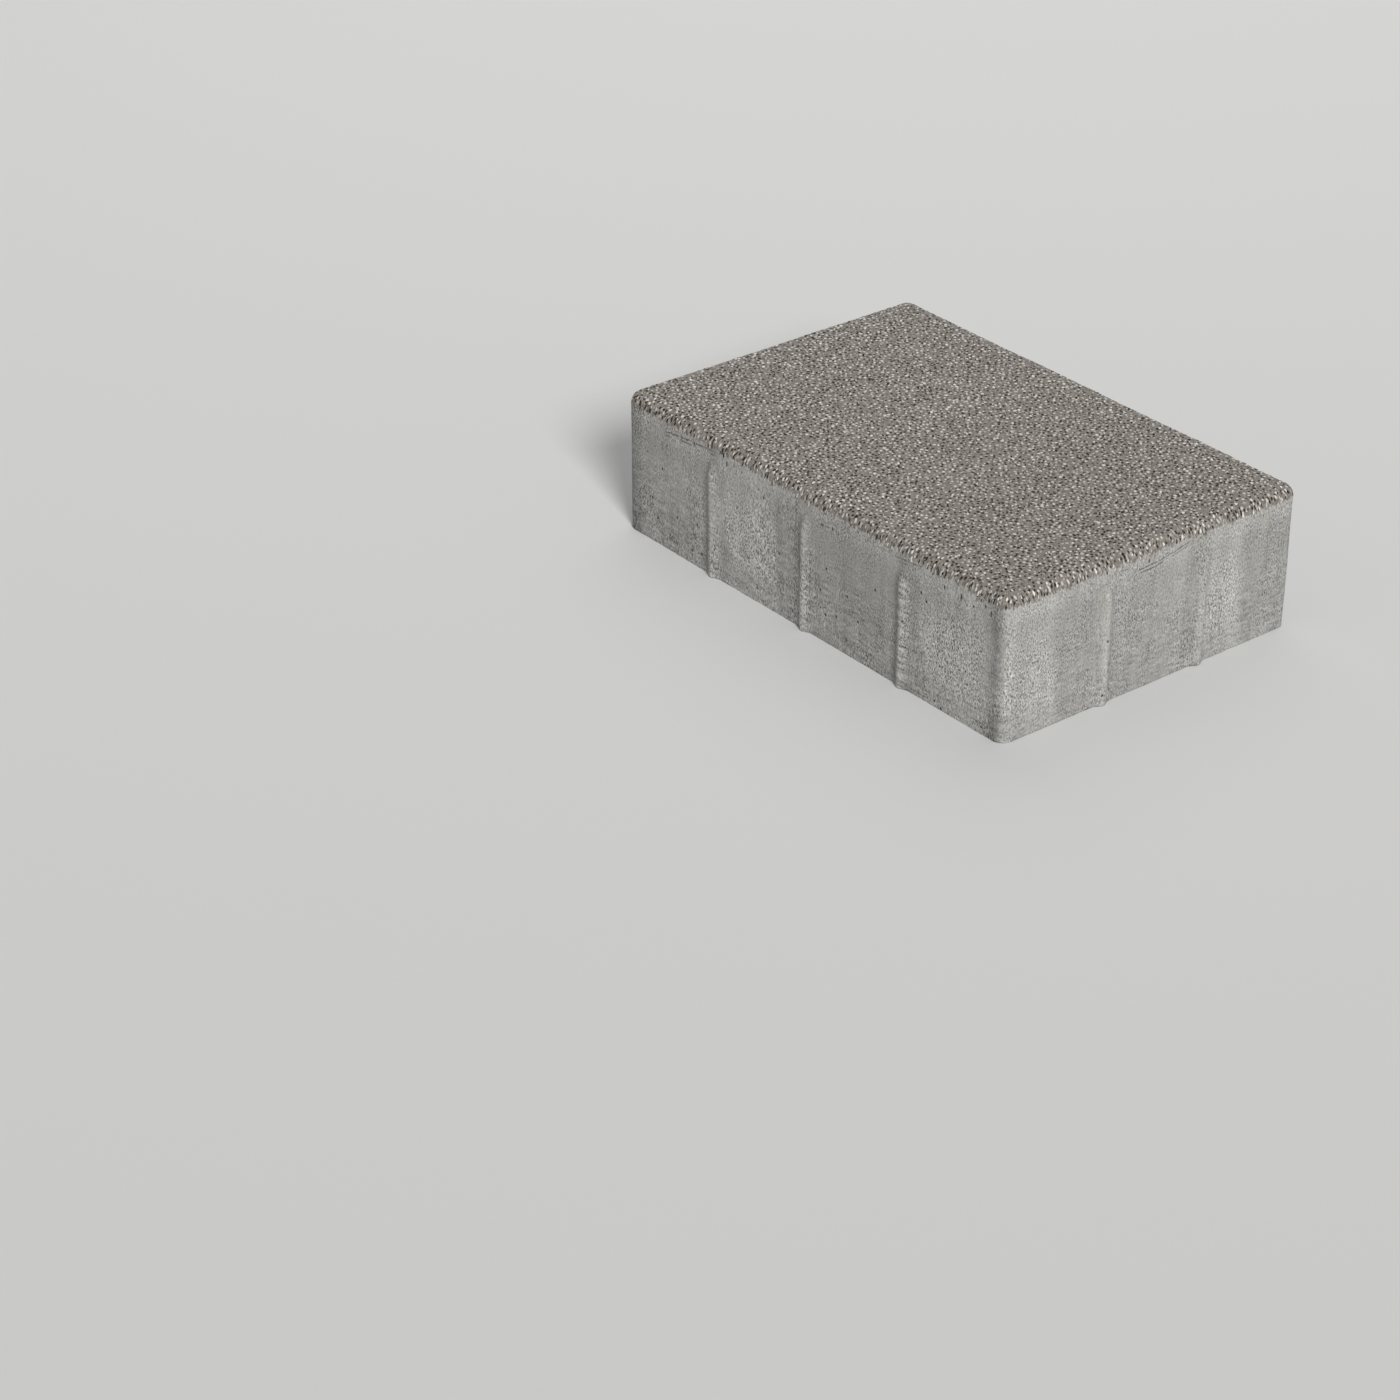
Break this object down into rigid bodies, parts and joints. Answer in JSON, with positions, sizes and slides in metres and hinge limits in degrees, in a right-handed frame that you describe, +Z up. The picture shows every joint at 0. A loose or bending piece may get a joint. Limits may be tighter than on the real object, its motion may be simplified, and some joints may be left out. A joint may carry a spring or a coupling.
{
  "type": "concrete paving stone",
  "caption": "Rectangular concrete paving stone with a blasted walking face, rounded arrises and upright spacer ribs on its sides.",
  "frame": {"origin": "centre of the foot, where the stone rests on its bed", "axes": "+X along the long side, +Y along the short side, +Z up through the walking face"},
  "size_m": [0.3028, 0.2028, 0.08],
  "materials": {
    "concrete": "vibro-pressed grey concrete, mould-struck on its sides and fine-blasted on its walking face"
  },
  "bodies": {
    "root": {"paving_stone": "concrete"}
  },
  "joints": []
}
